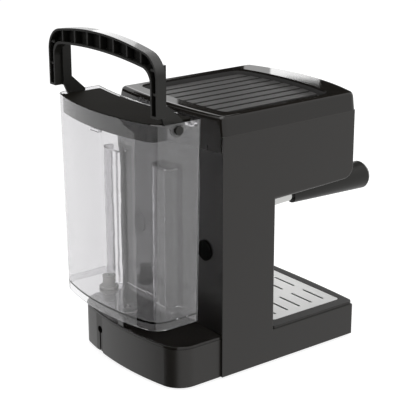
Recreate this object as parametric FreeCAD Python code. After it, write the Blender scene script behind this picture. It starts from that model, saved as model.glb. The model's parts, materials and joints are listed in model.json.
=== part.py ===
import FreeCAD, Part
import math
import os

# Espresso machine with a lift-out water tank behind it. Millimetres, +Z up, front towards -Y.
# While building, Y is measured from the rear edge of the side panels and Z from the floor.

# Clearances
fit_gap = 0.3
slide_gap = 0.5
run_gap = 0.05
over = 1.0

# Body
body_width = 200.0
base_depth = 204.5
column_depth = 76.4
head_depth = 197.0
head_bow = 19.0
rear_bow = 8.5
foot_height = 3.0
rim_rise = 42.6
head_rise_rear = 197.3
head_rise_front = 202.8
rear_step_rise = 265.0
seam_rise = 284.0
body_rise = 305.0
panel_wall = 2.5
panel_lip = 12.0
panel_edge_r = 2.0
panel_corner_r = 3.0
head_edge_r = 8.5
head_front_edge_r = 2.0
head_corner_r = 14.0
cover_taper = 4.5
cover_front_lean = 0.5
cover_edge_r = 6.0
cover_front_r = 9.0
cover_rear_r = 7.0
skirt_notch_x = -77.0
skirt_notch_w = 2.0
skirt_notch_h = 6.5
rear_wall_t = 2.5
rear_wall_inset = 4.5

# Cup-warming tray
recess_side = 16.0
recess_front = 34.0
recess_front_bow = 12.0
recess_rear = 18.0
recess_rear_bow = 3.0
recess_r = 15.0
recess_depth = 8.0
recess_wall = 2.0
warm_rib_pitch = 18.0
warm_rib_w = 13.0
warm_rib_h = 1.8
warm_rib_count = 9
warm_rib_margin = 3.0

# Front fascia and controls
fascia_t = 1.5
fascia_side = 8.0
fascia_low = 5.0
button_rise = 243.0
button_r = 8.0
button_pitch = 25.0
button_first_x = -58.0
button_count = 3
button_proud = 2.5
button_travel = 1.5
button_stem_r = 2.5
button_collar_r = 9.5
button_collar_t = 2.0
housing_margin = 14.0
housing_depth = 13.0
board_t = 1.6
switch_side = 6.0
switch_t = 3.5

# Drip tray and grille
tray_rim_t = 2.5
tray_rim_r = 8.0
tray_bow = 3.0
tray_wall = 2.0
chassis_floor_t = 3.0
grille_side = 15.0
grille_front = 8.3
grille_rear = 11.6
grille_t = 1.2
grille_r = 6.0
grille_drop = 0.4
grille_ledge = 3.0
slot_length = 37.5
slot_width = 2.8
slot_column_pitch = 53.4
slot_row_pitch = 19.3
slot_rows = 5
finger_length = 40.0
finger_width = 14.0
tray_stop_t = 2.5
tray_stop_h = 26.0

# Tank base
ledge_rear = 72.5
ledge_bow = 13.0
ledge_r = 27.0
ledge_rise = 50.0
ledge_cover_t = 2.8
ledge_seam = 0.5
ledge_wall = 2.5
cover_post_r = 5.0
cover_boss_h = 8.0
cover_post_xs = (78.0, 55.0)
cover_post_ys = (14.0, 50.0)
cord_hole_r = 4.5
cord_hole_x = 47.0
cord_hole_rise = 27.5
cord_slit_w = 2.5
cord_pad_w = 15.0
cord_pad_t = 3.0
screw_r = 1.6
screw_head_r = 3.2
screw_head_h = 2.2
screw_sink = 1.4
screw_bite = 5.0

# Feet
foot_r = 8.0
foot_recess = 1.0
foot_side = 28.0
foot_front_y = -184.0
foot_rear_y = 36.0

# Water tank, at rest drawn up and back by the same amount
tank_draw = 25.7
tank_rise = 233.0
tank_rim_side = 1.5
tank_foot_side = 7.0
tank_front = 11.3
tank_front_bow = -10.0
tank_front_r = 3.0
tank_rear = 74.3
tank_rear_arc_r = 300.0
tank_rim_r = 14.0
tank_foot_r = 22.0
tank_wall = 2.2
tank_skirt = 8.0
channel_in = 31.0
channel_out = 61.0
channel_depth = 19.0
channel_r = 4.0
channel_rise = 169.5
lid_side = 10.5
lid_gap = 1.2
lid_t = 3.0
lid_drop = 0.6
lid_skirt_h = 16.0
lid_skirt_wall = 2.0
lid_skirt_start = 40.0
lid_pad_h = 3.0
lid_pad_w = 8.0

# Tank handle
pivot_y = 32.3
pivot_drop = 8.0
pivot_r = 4.0
pin_head_r = 5.2
pin_head_t = 1.6
handle_overhang = 5.9
handle_leg_w = 12.0
handle_bar_h = 20.0
handle_front = 20.4
handle_depth = 11.4
handle_rise = 84.0
handle_leg_end = 9.5
handle_bow = 12.5
handle_outer_r = 27.0
handle_inner_r = 16.0
handle_skin = 2.5
handle_rib_pitch = 25.0
ear_t = 3.0
ear_r = 8.0
ear_foot_rise = 9.0
ear_top_rise = 27.5
leg_plate_top = 70.0
leg_plate_depth = 8.7
leg_plate_t = 4.0
lid_pad_back = 17.2

# Tank outlet valve and its dock
dock_x = 30.0
dock_y = 39.0
dock_r = 9.0
dock_flange_r = 12.0
dock_flange_t = 1.2
dock_seal_t = 2.2
dock_bore_r = 2.2
dock_barb_r = 3.2
dock_barb_rise = 27.0
dock_pin_r = 1.6
valve_flange_r = 11.0
valve_neck_r = 7.0
valve_bore_r = 5.4
valve_seat_r = 3.4
valve_stem_r = 1.5
valve_disc_t = 1.8
valve_travel = 2.0
valve_rise = 12.0
valve_nut_r = 11.0
valve_nut_h = 3.5
valve_spring_r = 4.2
valve_spring_wall = 0.8
valve_cap_t = 2.0
valve_cap_hole_r = 2.0

# Group, boiler and portafilter
group_y = -118.0
group_ring_r = 40.0
group_ring_low = 170.0
group_collar_r = 48.0
group_seat_rise = 206.0
group_roof_t = 16.0
group_gasket_t = 6.0
group_gasket_in_r = 24.0
screen_r = 23.0
screen_t = 1.2
screen_screw_r = 3.0
boiler_r = 44.0
boiler_h = 26.0
boiler_flange_t = 5.0
boiler_gasket_t = 2.0
boiler_lid_h = 32.0
boiler_lid_r = 36.0
boiler_screw_r = 2.0
boiler_screw_head_r = 3.5
boiler_screw_head_h = 3.0
heater_r = 3.3
heater_length = 14.0
thermostat_r = 8.0
thermostat_h = 9.0
bowl_flange_r = 34.0
bowl_flange_t = 6.0
bowl_lug_reach = 3.6
bowl_lug_angle = 36.0
bowl_lug_play = 6.0
bowl_turn = 50.0
bowl_r = 31.0
bowl_wall = 3.0
bowl_depth = 44.0
basket_r = 27.6
basket_lip_r = 32.0
basket_wall = 0.8
basket_depth = 22.0
stem_r = 6.0
stem_rise = 154.0
stem_length = 38.0
stem_tilt = 2.6
grip_start_r = 9.5
grip_end_r = 18.0
grip_length = 130.0
grip_dome = 11.0
grip_socket = 12.0
spout_neck_r = 8.0
spout_neck_h = 10.0
spout_arm_r = 6.0
spout_span = 12.0
spout_drop = 12.0
spout_bore_r = 3.0

# Pump and water lines
pump_x = 30.0
pump_y = -40.0
pump_r = 22.0
pump_low = 70.0
pump_h = 62.0
pump_nozzle_r = 4.2
pump_nozzle_h = 14.0
pump_damper_t = 3.0
pump_damper_h = 12.0
pump_clamp_t = 2.5
bracket_t = 2.5
hose_r = 5.0
hose_bore_r = 3.2
hose_bend_r = 14.0
suction_rise = 14.0
pressure_rise = 255.0
boiler_inlet_r = 7.0
boiler_inlet_reach = 10.0

# Steam
steam_x = 74.0
steam_rise = 243.0
steam_y = -150.0
steam_valve_r = 11.0
steam_valve_front = 178.0
steam_valve_rear = 138.0
steam_drop_r = 8.0
steam_stem_r = 4.0
steam_pipe_r = 3.0
steam_pipe_bore = 1.8
steam_pipe_bend = 9.0
knob_r = 16.0
knob_t = 19.0
knob_gap = 1.5
knob_flutes = 12
knob_flute_r = 2.2
knob_socket = 10.0
wand_r = 3.6
wand_bore_r = 1.6
wand_socket = 14.0
wand_straight = 24.0
wand_bend_r = 18.0
wand_lean = 16.0
wand_length = 86.0
sleeve_r = 7.0
sleeve_length = 34.0
wand_grip_r = 6.2
wand_grip_length = 26.0
wand_grip_start = 16.0

# Rear plug
plug_r = 12.0
plug_x = 63.0
plug_rise = 143.5
plug_proud = 2.0
plug_neck = 3.0

# Levels above the floor
half = body_width / 2
recess_half = half - recess_side
grille_half = half - grille_side
foot_x = half - foot_side
tank_rim_half = half - tank_rim_side
tank_foot_half = half - tank_foot_side
lid_half = tank_rim_half - lid_side
handle_half = tank_rim_half + handle_overhang
base_z = foot_height
rim_z = base_z + rim_rise
panel_low_z = rim_z - tray_rim_t - slide_gap
head_rear_z = base_z + head_rise_rear
head_front_z = base_z + head_rise_front
head_slope = (head_front_z - head_rear_z) / (head_depth - column_depth)
skirt_z = base_z + rear_step_rise
seam_z = base_z + seam_rise
top_z = base_z + body_rise
ledge_z = base_z + ledge_rise
front_y = -(head_depth + head_bow)
front_arc_r = (half ** 2 + head_bow ** 2) / (2 * head_bow)
lip_x = half - panel_lip - fit_gap
inside_x = half - panel_wall - fit_gap
ledge_half = inside_x
tank_z = ledge_z + fit_gap + tank_draw
tank_top_z = tank_z + tank_rise
tank_floor_z = tank_z + tank_skirt
rest_y = tank_draw
pivot_z = tank_top_z - pivot_drop
group_seat_z = base_z + group_seat_rise
group_roof_z = group_seat_z - group_roof_t
bowl_top_z = group_roof_z - group_gasket_t - fit_gap
bowl_low_z = bowl_top_z - bowl_depth


def vec(x, y, z):
    return FreeCAD.Vector(x, y, z)


def box(x0, x1, y0, y1, z0, z1):
    return Part.makeBox(x1 - x0, y1 - y0, z1 - z0, vec(x0, y0, z0))


def rod(r, start, end):
    return Part.makeCylinder(r, (end - start).Length, start, end - start)


def disc(r, x, y, z0, z1):
    return rod(r, vec(x, y, z0), vec(x, y, z1))


def tube(r, bore, x, y, z0, z1):
    return disc(r, x, y, z0, z1).cut(disc(bore, x, y, z0 - over, z1 + over))


def fused(shapes):
    whole = shapes[0]
    if len(shapes) > 1:
        whole = whole.fuse(shapes[1:])
    return whole.removeSplitter()


def mirrored(shape):
    return shape.mirror(vec(0, 0, 0), vec(1, 0, 0))


def both_sides(shape):
    return [shape, mirrored(shape)]


def on_plan(z):
    return lambda u, v: vec(u, v, z)


def on_side(x):
    return lambda u, v: vec(x, u, v)


def on_front(y):
    return lambda u, v: vec(u, y, v)


def line(a, b):
    return Part.LineSegment(a, b).toShape()


def arc(a, b, c):
    return Part.Arc(a, b, c).toShape()


# A closed outline through corners (u, v, radius), each rounded by its own radius.
def rounded(corners, at):
    rounds = []
    for i, (u, v, r) in enumerate(corners):
        here = vec(u, v, 0)
        before = vec(corners[i - 1][0], corners[i - 1][1], 0) - here
        after = vec(corners[(i + 1) % len(corners)][0], corners[(i + 1) % len(corners)][1], 0) - here
        before.normalize()
        after.normalize()
        if r == 0:
            rounds.append((here, None, here))
            continue
        half_turn = before.getAngle(after) / 2
        cut = r / math.tan(half_turn)
        inward = before + after
        inward.normalize()
        middle = here + inward * (r / math.sin(half_turn) - r)
        rounds.append((here + before * cut, middle, here + after * cut))
    edges = []
    for i, (start, middle, end) in enumerate(rounds):
        if middle is not None:
            edges.append(arc(at(start.x, start.y), at(middle.x, middle.y), at(end.x, end.y)))
        onward = rounds[(i + 1) % len(rounds)][0]
        if end.distanceToPoint(onward) > 1e-6:
            edges.append(line(at(end.x, end.y), at(onward.x, onward.y)))
    return Part.Wire(edges)


# Where a straight side at u = +side meets an end edge that passes (0, mid) and falls back by bow.
def bowed_corner(side, mid, bow, r):
    if bow == 0:
        centre = vec(side - r, mid - r, 0)
        end = vec(side - r, mid, 0)
    else:
        big = (side ** 2 + bow ** 2) / (2 * abs(bow))
        sign = math.copysign(1, bow)
        hub = vec(0, mid - sign * big, 0)
        reach = big - sign * r
        centre = vec(side - r, hub.y + sign * math.sqrt(reach ** 2 - (side - r) ** 2), 0)
        end = hub + (centre - hub) * (big / reach)
    start = vec(side, centre.y, 0)
    outward = (start - centre) + (end - centre)
    outward.normalize()
    return start, centre + outward * r, end


# A closed outline with straight sides and bowed ends. A positive bow swells outwards.
def bowed(side, front, front_bow, front_r, rear, rear_bow, rear_r, at):
    far = bowed_corner(side, rear, rear_bow, rear_r)
    near = [vec(p.x, -p.y, 0) for p in bowed_corner(side, -front, front_bow, front_r)]

    def right(p):
        return at(p.x, p.y)

    def left(p):
        return at(-p.x, p.y)

    def end_edge(p, mid, bow, first, second):
        if bow == 0:
            return line(first(p), second(p))
        return arc(first(p), at(0, mid), second(p))

    edges = [line(right(near[0]), right(far[0])), arc(right(far[0]), right(far[1]), right(far[2]))]
    edges += [end_edge(far[2], rear, rear_bow, right, left)]
    edges += [arc(left(far[2]), left(far[1]), left(far[0])), line(left(far[0]), left(near[0]))]
    edges += [arc(left(near[0]), left(near[1]), left(near[2]))]
    edges += [end_edge(near[2], front, front_bow, left, right)]
    edges += [arc(right(near[2]), right(near[1]), right(near[0]))]
    return Part.Wire(edges)


def raised(wire, height):
    return Part.Face(wire).extrude(vec(0, 0, height))


def loft(low, high):
    return Part.makeLoft([low, high], True, True)


# A round bar along straight runs joined by tangent arcs.
def bent_bar(r, points, bend_r):
    edges = []
    last = points[0]
    for i in range(1, len(points) - 1):
        back = points[i - 1] - points[i]
        ahead = points[i + 1] - points[i]
        back.normalize()
        ahead.normalize()
        half_turn = back.getAngle(ahead) / 2
        cut = bend_r / math.tan(half_turn)
        inward = back + ahead
        inward.normalize()
        start = points[i] + back * cut
        middle = points[i] + inward * (bend_r / math.sin(half_turn) - bend_r)
        end = points[i] + ahead * cut
        edges.append(line(last, start))
        edges.append(arc(start, middle, end))
        last = end
    edges.append(line(last, points[-1]))
    ring = Part.Wire([Part.Circle(points[0], points[1] - points[0], r).toShape()])
    return Part.Wire(edges).makePipeShell([ring], True, False)


def bent_tube(r, bore, points, bend_r):
    return bent_bar(r, points, bend_r).cut(bent_bar(bore, points, bend_r))


def head_z(y):
    return head_rear_z + (-column_depth - y) * head_slope


# What lies behind the bowed front, set back from it by an inset.
def behind_front(inset):
    r = front_arc_r - inset
    return disc(r, 0, front_y + front_arc_r, base_z, top_z + over)


def outer_edges(shape, x, rear, top):
    chosen = []
    for edge in shape.Edges:
        on_face = all(abs(v.X - x) < 1e-6 for v in edge.Vertexes)
        middle = edge.CenterOfMass
        if on_face and middle.y < rear - over and base_z + over < middle.z < top - over:
            chosen.append(edge)
    return chosen


# The right side's outer volume, or with an inset the hollow inside it, open to the rear, top and floor.
def side_volume(inset):
    spare = over if inset else 0.0
    x = half - inset
    depth = panel_lip - inset + spare
    rear = spare
    top = seam_z + spare
    low_z = base_z - spare
    head_front = -head_depth + inset
    head = [(rear, head_z(rear) + inset, 0), (head_front, head_z(head_front) + inset, head_corner_r - inset)]
    head += [(head_front, top, 0), (rear, top, 0)]
    head_block = Part.Face(rounded(head, on_side(x))).extrude(vec(-depth, 0, 0))
    edges = outer_edges(head_block, x, rear, top)
    if inset == 0:
        low_edge = min(edges, key=lambda e: e.CenterOfMass.z)
        head_block = head_block.makeFillet(head_edge_r, head_front_edge_r, [low_edge])
    else:
        head_block = head_block.makeFillet(head_edge_r - inset, edges)
    base_front = -base_depth + inset
    column_front = -column_depth + inset
    shelf_z = panel_low_z - inset
    column_top = head_rear_z + panel_lip
    column = [(rear, low_z, 0), (base_front, low_z, 0), (base_front, shelf_z, panel_corner_r)]
    column += [(column_front, shelf_z, 0), (column_front, column_top, 0), (rear, column_top, 0)]
    column_block = Part.Face(rounded(column, on_side(x))).extrude(vec(-depth, 0, 0))
    if inset == 0:
        edges = outer_edges(column_block, x, rear, column_top)
        column_block = column_block.makeFillet(panel_edge_r, edges)
    return fused([head_block, column_block])


def side_panel():
    return side_volume(0.0).cut(side_volume(panel_wall)).removeSplitter()


# The cover's plan outline set in by a wall, at a share of the way from its seam to its top.
def cover_outline(wall, share, z):
    lean = cover_taper * share
    side = half - wall - lean
    shrink = (side / half) ** 2
    front = front_y + wall + cover_front_lean * share
    rear = rear_bow - (wall + lean) / 2
    return bowed(side, front, head_bow * shrink, cover_front_r, rear, rear_bow * shrink, cover_rear_r, on_plan(z))


def recess_outline(grow, z):
    front = front_y + recess_front - grow
    rear = -recess_rear + recess_rear_bow + grow
    side = recess_half + grow
    return bowed(side, front, recess_front_bow, recess_r + grow, rear, recess_rear_bow, recess_r + grow, on_plan(z))


def top_cover():
    outer = loft(cover_outline(0.0, 0, seam_z), cover_outline(0.0, 1, top_z))
    rim = [e for e in outer.Edges if all(abs(v.Z - top_z) < 1e-6 for v in e.Vertexes)]
    outer = outer.makeFillet(cover_edge_r, rim)
    inner_top = top_z - panel_wall
    hollow = loft(cover_outline(panel_wall, 0, seam_z - over), cover_outline(panel_wall, 1, inner_top))
    shell = outer.cut(hollow)
    skirt_front = -rear_wall_inset + fit_gap
    zone = box(-inside_x, inside_x, skirt_front, rear_bow + over, skirt_z, seam_z + over)
    skirt = raised(cover_outline(0.0, 0, skirt_z), seam_z - skirt_z).common(zone)
    pocket_low = skirt_z + panel_wall
    pocket = raised(cover_outline(panel_wall, 0, pocket_low), seam_z - pocket_low)
    skirt = skirt.cut(pocket.common(zone))
    notch_x = skirt_notch_x - skirt_notch_w / 2
    notch = box(notch_x, notch_x + skirt_notch_w, -panel_wall, rear_bow, skirt_z - over, skirt_z + skirt_notch_h)
    shell = fused([shell, skirt.cut(notch)])
    return shell.cut(raised(recess_outline(0.0, inner_top - over), panel_wall + 2 * over))


def cup_warming_tray():
    seat_z = top_z - panel_wall
    floor_z = top_z - recess_depth
    low_z = floor_z - recess_wall
    pan = raised(recess_outline(recess_wall, low_z), seat_z - low_z)
    pan = pan.cut(raised(recess_outline(0.0, floor_z), seat_z - floor_z + over))
    zone = raised(recess_outline(-warm_rib_margin, floor_z - recess_wall / 2), recess_wall / 2 + warm_rib_h)
    ribs = []
    for i in range(warm_rib_count):
        x = (i - (warm_rib_count - 1) / 2) * warm_rib_pitch
        bar = box(x - warm_rib_w / 2, x + warm_rib_w / 2, front_y, rear_bow, low_z, floor_z + warm_rib_h)
        ribs.append(bar.common(zone))
    return fused([pan] + ribs)


def rear_wall():
    front = -rear_wall_inset - rear_wall_t
    low_z = base_z + chassis_floor_t
    wall = box(-inside_x, inside_x, front, -rear_wall_inset, low_z, seam_z - panel_wall)
    for x in (-plug_x, plug_x):
        hole = rod(plug_r - plug_neck, vec(x, front - over, base_z + plug_rise), vec(x, over, base_z + plug_rise))
        wall = wall.cut(hole)
    hose_z = base_z + suction_rise
    return wall.cut(rod(hose_r + slide_gap, vec(pump_x, front - over, hose_z), vec(pump_x, over, hose_z)))


def rear_plugs():
    plugs = []
    z = base_z + plug_rise
    for x in (-plug_x, plug_x):
        face_y = -rear_wall_inset
        head = rod(plug_r, vec(x, face_y, z), vec(x, face_y + plug_proud, z))
        neck = rod(plug_r - plug_neck - run_gap, vec(x, face_y - rear_wall_t - over, z), vec(x, face_y, z))
        plugs.append(fused([head, neck]))
    return Part.makeCompound(plugs)


def column_front_panel():
    low_z = base_z + chassis_floor_t
    return box(-lip_x, lip_x, -column_depth, -column_depth + panel_wall, low_z, group_seat_z - fit_gap)


def group_axis(r, z0, z1):
    return disc(r, 0, group_y, z0, z1)


def head_underside():
    rear = -column_depth - fit_gap
    front = front_y
    corners = [(rear, head_z(rear), 0), (front, head_z(front), 0)]
    corners += [(front, head_z(front) + panel_wall, 0), (rear, head_z(rear) + panel_wall, 0)]
    plate = Part.Face(rounded(corners, on_side(-lip_x))).extrude(vec(2 * lip_x, 0, 0))
    plate = plate.common(behind_front(fascia_t + fit_gap))
    lowest = head_z(group_y + group_collar_r) + panel_wall / 2
    collar = group_axis(group_collar_r, lowest, group_seat_z)
    collar = collar.common(box(-half, half, front, rear, lowest, group_seat_z))
    plate = fused([plate, collar])
    plate = plate.cut(group_axis(group_ring_r + fit_gap, base_z, top_z))
    return plate.cut(disc(wand_r + slide_gap, steam_x, steam_y, base_z, top_z))


def button_xs():
    return [button_first_x + i * button_pitch for i in range(button_count)]


def front_fascia():
    side = half - fascia_side
    low_z = head_front_z + fascia_low
    plate = behind_front(0.0).cut(behind_front(fascia_t))
    plate = plate.common(box(-side, side, front_y - over, -head_depth + over, low_z, seam_z - fit_gap))
    for x in button_xs():
        z = base_z + button_rise
        plate = plate.cut(rod(button_r + fit_gap, vec(x, front_y - over, z), vec(x, 0, z)))
    z = base_z + steam_rise
    return plate.cut(rod(steam_stem_r + fit_gap, vec(steam_x, front_y - over, z), vec(steam_x, 0, z)))


# The depth of the controls: the board stands behind the housing, the switches on the board.
def board_y():
    return front_y + head_bow + housing_depth


def button_housing():
    xs = button_xs()
    low_z = base_z + button_rise - housing_margin
    high_z = base_z + button_rise + housing_margin
    block = box(xs[0] - housing_margin, xs[-1] + housing_margin, front_y, board_y(), low_z, high_z)
    block = block.common(behind_front(fascia_t))
    for x in xs:
        z = base_z + button_rise
        guide = rod(button_collar_r + fit_gap, vec(x, front_y, z), vec(x, board_y() + over, z))
        block = block.cut(guide)
    return block


def front_at(x):
    return front_y + front_arc_r - math.sqrt(front_arc_r ** 2 - x ** 2)


def button(x):
    z = base_z + button_rise
    face = front_at(x) - button_proud
    collar = front_at(abs(x) + button_collar_r) + fascia_t + fit_gap
    stem_end = board_y() - switch_t - button_travel - fit_gap
    cap = rod(button_r, vec(x, face, z), vec(x, collar, z))
    flange = rod(button_collar_r, vec(x, collar, z), vec(x, collar + button_collar_t, z))
    stem = rod(button_stem_r, vec(x, collar, z), vec(x, stem_end, z))
    rim = [e for e in cap.Edges if e.Closed and abs(e.CenterOfMass.y - face) < 1e-6]
    cap = cap.makeFillet(button_proud / 2, rim)
    return fused([cap, flange, stem])


def button_switches():
    switches = []
    z = base_z + button_rise
    side = switch_side / 2
    for x in button_xs():
        switches.append(box(x - side, x + side, board_y() - switch_t, board_y(), z - side, z + side))
    return Part.makeCompound(switches)


def control_board():
    xs = button_xs()
    low_z = base_z + button_rise - housing_margin
    high_z = base_z + button_rise + housing_margin
    return box(xs[0] - housing_margin, xs[-1] + housing_margin, board_y(), board_y() + board_t, low_z, high_z)


def base_chassis():
    front = -base_depth + panel_wall + fit_gap
    floor = box(-inside_x, inside_x, front, -rear_wall_inset, base_z, base_z + chassis_floor_t)
    stop_y = -column_depth - grille_rear + slide_gap
    stop_z = base_z + chassis_floor_t + tray_stop_h
    stop = box(-grille_half, grille_half, stop_y, stop_y + tray_stop_t, base_z, stop_z)
    whole = fused([floor, stop])
    for x in (-foot_x, foot_x):
        whole = whole.cut(disc(foot_r + run_gap, x, foot_front_y, base_z - over, base_z + foot_recess))
    return whole


def feet():
    pads = []
    for y in (foot_front_y, foot_rear_y):
        for x in (-foot_x, foot_x):
            pads.append(disc(foot_r, x, y, 0, base_z + foot_recess))
    return Part.makeCompound(pads)


def grille_outline(grow, z):
    side = grille_half + grow
    front = -base_depth + grille_front - grow
    rear = -column_depth - grille_rear + grow
    r = max(grille_r + grow, grille_r / 2)
    corners = [(-side, front, r), (side, front, r), (side, rear, r), (-side, rear, r)]
    return rounded(corners, on_plan(z))


def drip_tray():
    rear = -column_depth - slide_gap
    under = rim_z - tray_rim_t
    front = -base_depth - tray_bow
    rim = raised(bowed(half, front, tray_bow, tray_rim_r, rear, 0, panel_edge_r, on_plan(under)), tray_rim_t)
    top = [e for e in rim.Edges if all(abs(v.Z - rim_z) < 1e-6 for v in e.Vertexes)]
    rim = rim.makeFillet(tray_rim_t / 3, top)
    ledge_top = rim_z - grille_drop - grille_t
    floor_z = base_z + chassis_floor_t + fit_gap
    basin = raised(grille_outline(tray_wall - grille_ledge, floor_z), ledge_top - floor_z)
    apron_x = lip_x - slide_gap
    apron_bow = tray_bow * (apron_x / half) ** 2
    apron_z = base_z + slide_gap
    face = front + slide_gap
    inner = face + tray_wall
    apron = bowed(apron_x, face, apron_bow, fit_gap, inner, -apron_bow, fit_gap, on_plan(apron_z))
    apron = raised(apron, under + tray_rim_t / 2 - apron_z)
    whole = fused([rim, basin, apron])
    whole = whole.cut(raised(grille_outline(fit_gap, ledge_top), tray_rim_t))
    return whole.cut(raised(grille_outline(-grille_ledge, floor_z + tray_wall), rim_rise))


def stadium(length, width, x, y, z, height):
    r = width / 2
    l = length / 2
    corners = [(x - l, y - r, r), (x + l, y - r, r), (x + l, y + r, r), (x - l, y + r, r)]
    return raised(rounded(corners, on_plan(z)), height)


def drip_grille():
    top = rim_z - grille_drop
    plate = raised(grille_outline(0.0, top - grille_t), grille_t)
    middle_y = (-base_depth + grille_front - column_depth - grille_rear) / 2
    cuts = []
    for row in range(slot_rows):
        y = middle_y + (row - (slot_rows - 1) / 2) * slot_row_pitch
        for column in (-1, 0, 1):
            x = column * slot_column_pitch
            wide = column == 0 and row == slot_rows // 2
            length = finger_length if wide else slot_length
            width = finger_width if wide else slot_width
            cuts.append(stadium(length, width, x, y, top - grille_t - over, grille_t + 2 * over))
    return plate.cut(cuts)


def ledge_outline(inset, z):
    front = -rear_wall_inset + fit_gap + inset
    bow = ledge_bow * ((ledge_half - inset) / ledge_half) ** 2
    return bowed(ledge_half - inset, front, 0, over, ledge_rear - inset, bow, ledge_r - inset, on_plan(z))


def cover_posts():
    return [(s * x, y) for x, y in zip(cover_post_xs, cover_post_ys) for s in (-1, 1)]


def ledge_rear_at(x):
    r = (ledge_half ** 2 + ledge_bow ** 2) / (2 * ledge_bow)
    return ledge_rear - r + math.sqrt(r ** 2 - x ** 2)


def tank_base():
    shell_top = ledge_z - ledge_cover_t - ledge_seam
    inner_z = base_z + ledge_wall
    shell = raised(ledge_outline(0.0, base_z), shell_top - base_z)
    shell = shell.cut(raised(ledge_outline(ledge_wall, inner_z), shell_top))
    post_top = ledge_z - ledge_cover_t - cover_boss_h
    whole = fused([shell] + [disc(cover_post_r, x, y, base_z, post_top) for x, y in cover_posts()])
    head_z1 = base_z + screw_sink + screw_head_h
    for x, y in cover_posts():
        whole = whole.cut(disc(screw_head_r + fit_gap, x, y, base_z - over, head_z1))
        whole = whole.cut(disc(screw_r + run_gap, x, y, base_z, post_top + over))
    for x in (-foot_x, foot_x):
        whole = whole.cut(disc(foot_r + run_gap, x, foot_rear_y, base_z - over, base_z + foot_recess))
    hose_z = base_z + suction_rise
    wall_y = -rear_wall_inset
    whole = whole.cut(rod(hose_r + slide_gap, vec(pump_x, wall_y - over, hose_z), vec(pump_x, over, hose_z)))
    cord_z = base_z + cord_hole_rise
    outer = ledge_rear_at(cord_hole_x + cord_pad_w / 2)
    pad_in = outer - ledge_wall - cord_pad_t
    pad = box(cord_hole_x - cord_pad_w / 2, cord_hole_x + cord_pad_w / 2, pad_in, outer, base_z, shell_top)
    whole = fused([whole, pad])
    shave = box(cord_hole_x - cord_pad_w / 2, cord_hole_x + cord_pad_w / 2, outer, ledge_rear, base_z, shell_top)
    whole = whole.cut(shave)
    whole = whole.cut(rod(cord_hole_r, vec(cord_hole_x, pad_in - over, cord_z), vec(cord_hole_x, ledge_rear, cord_z)))
    slit_x = cord_hole_x - cord_slit_w / 2
    return whole.cut(box(slit_x, slit_x + cord_slit_w, pad_in - over, ledge_rear, base_z - over, cord_z))


def tank_base_cover():
    low_z = ledge_z - ledge_cover_t
    plate = raised(ledge_outline(0.0, low_z), ledge_cover_t)
    top = [e for e in plate.Edges if all(abs(v.Z - ledge_z) < 1e-6 for v in e.Vertexes)]
    plate = plate.makeFillet(ledge_cover_t / 2, top)
    bosses = [disc(cover_post_r, x, y, low_z - cover_boss_h, low_z) for x, y in cover_posts()]
    whole = fused([plate] + bosses)
    for x, y in cover_posts():
        start = low_z - cover_boss_h - over
        whole = whole.cut(disc(screw_r + run_gap, x, y, start, low_z - cover_boss_h + screw_bite + fit_gap))
    return whole.cut(disc(dock_r + fit_gap, dock_x, dock_y, base_z, top_z))


def base_screws():
    screws = []
    head_z0 = base_z + screw_sink
    tip = ledge_z - ledge_cover_t - cover_boss_h + screw_bite
    for x, y in cover_posts():
        head = disc(screw_head_r, x, y, head_z0, head_z0 + screw_head_h)
        screws.append(fused([head, disc(screw_r, x, y, head_z0, tip)]))
    return Part.makeCompound(screws)


# The tank's plan outline at a height, shrunk by an inset.
def tank_outline(inset, z):
    share = (z - tank_z) / tank_rise
    side = tank_foot_half + (tank_rim_half - tank_foot_half) * share - inset
    arc_r = tank_rear_arc_r - inset
    rear_sag = arc_r - math.sqrt(arc_r ** 2 - side ** 2)
    front_sag = tank_front_bow * (side / tank_rim_half) ** 2
    front = tank_front + rest_y + inset
    rear = tank_rear + rest_y - inset
    front_r = max(tank_front_r - inset, tank_front_r / 3)
    rear_r = tank_foot_r + (tank_rim_r - tank_foot_r) * share - inset
    return bowed(side, front, front_sag, front_r, rear, rear_sag, rear_r, on_plan(z))


def channel(grow):
    front = tank_front + tank_front_bow + rest_y
    deep = front + channel_depth + grow
    top = tank_z + channel_rise + grow
    x0 = channel_in - grow
    x1 = channel_out + grow
    r = channel_r + grow
    corners = [(x0, front - channel_depth, 0), (x1, front - channel_depth, 0), (x1, deep, r), (x0, deep, r)]
    return raised(rounded(corners, on_plan(tank_z - over)), top - tank_z + over)


def valve_y():
    return dock_y + rest_y


def water_tank():
    outer = loft(tank_outline(0.0, tank_z), tank_outline(0.0, tank_top_z))
    room_z = tank_floor_z + tank_wall
    room = loft(tank_outline(tank_wall, room_z), tank_outline(tank_wall, tank_top_z + over))
    under = loft(tank_outline(tank_wall, tank_z - over), tank_outline(tank_wall, tank_floor_z))
    walls = both_sides(channel(tank_wall))
    whole = outer.cut(both_sides(channel(0.0)))
    whole = whole.cut(room.cut(walls)).cut(under.cut(walls))
    pad_top = tank_top_z - lid_drop - lid_t - fit_gap
    pad_y = pivot_y + rest_y - lid_pad_back
    reach = tank_rim_half - tank_wall / 2
    pad = box(lid_half - 2 * lid_gap, reach, pad_y - lid_pad_w, pad_y, pad_top - lid_pad_h, pad_top)
    rear_top = pad_top - lid_skirt_h
    rear_y = tank_rear + rest_y
    rest_pad = box(-lid_pad_w, lid_pad_w, rear_y - tank_wall - 2 * lid_gap - lid_skirt_wall,
                   rear_y - tank_wall / 2, rear_top - lid_pad_h, rear_top)
    whole = fused([whole, rest_pad] + both_sides(pad))
    pin = rod(pivot_r + run_gap, vec(-handle_half, pivot_y + rest_y, pivot_z),
              vec(handle_half, pivot_y + rest_y, pivot_z))
    whole = whole.cut(pin)
    return whole.cut(disc(valve_neck_r + run_gap, dock_x, valve_y(), tank_z, room_z + over))


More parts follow.
